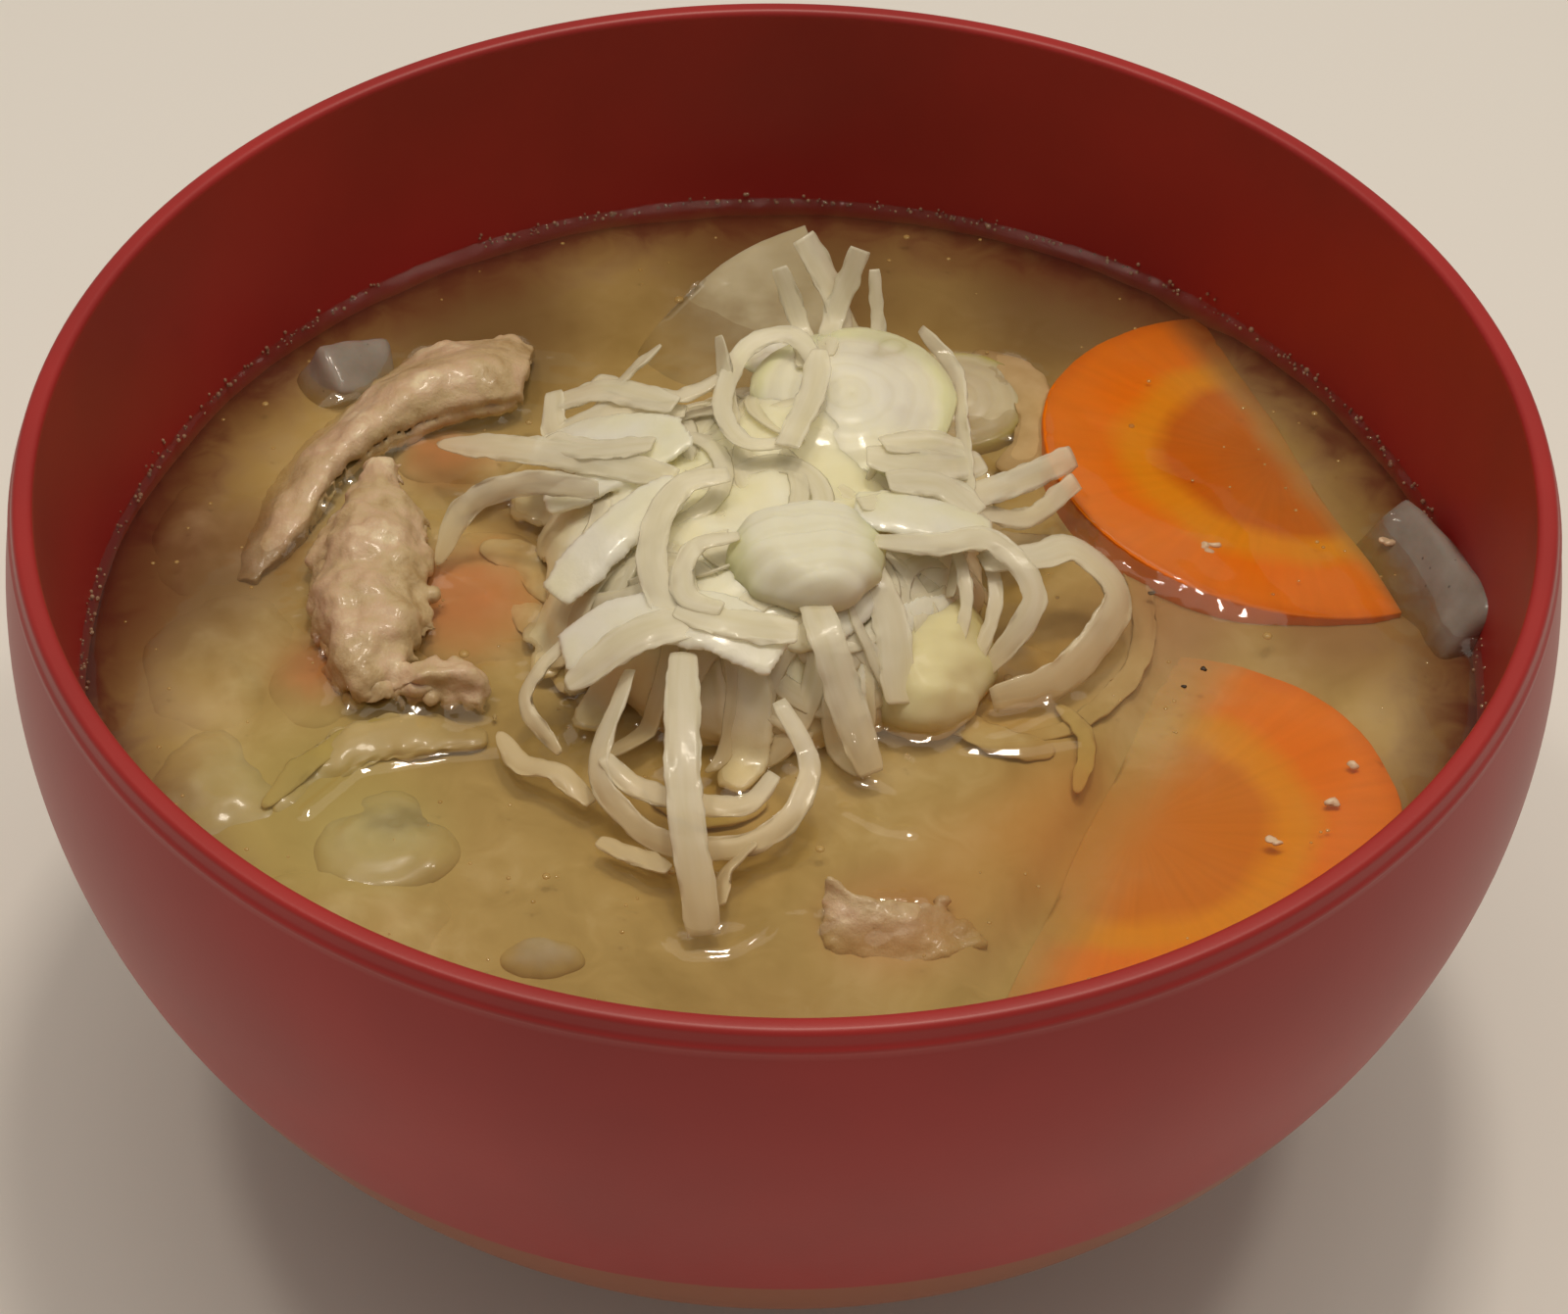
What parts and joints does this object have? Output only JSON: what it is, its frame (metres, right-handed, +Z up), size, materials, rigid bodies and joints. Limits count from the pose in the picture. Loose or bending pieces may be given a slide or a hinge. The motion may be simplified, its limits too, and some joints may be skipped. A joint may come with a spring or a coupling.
{
  "type": "bowl of miso soup",
  "caption": "Round footed soup bowl holding miso soup with pork, carrot, daikon and konnyaku pieces and a heap of shredded leek on top.",
  "frame": {"origin": "centre of the foot, on the surface that the bowl stands on", "axes": "+Z up along the bowl's axis, -Y towards the person eating, +X to their right"},
  "size_m": [0.1236, 0.1236, 0.068],
  "materials": {
    "bowl": "satin moulded, dark red",
    "broth": "cloudy wet broth",
    "leek": "moist, translucent white",
    "carrot": "cooked, wet orange",
    "daikon": "cooked, translucent beige",
    "pork": "boiled, moist",
    "konnyaku": "grey jelly"
  },
  "bodies": {
    "root": {"bowl": "bowl", "soup": "broth", "leek_heap": "leek", "carrot_slice_back": "carrot", "carrot_slice_front": "carrot", "daikon_slice": "daikon", "leek_round": "leek", "leek_strip": "leek", "pork_fold": "pork", "pork_crumpled": "pork", "pork_tip": "pork", "konnyaku_left": "konnyaku", "konnyaku_right": "konnyaku"}
  },
  "joints": []
}
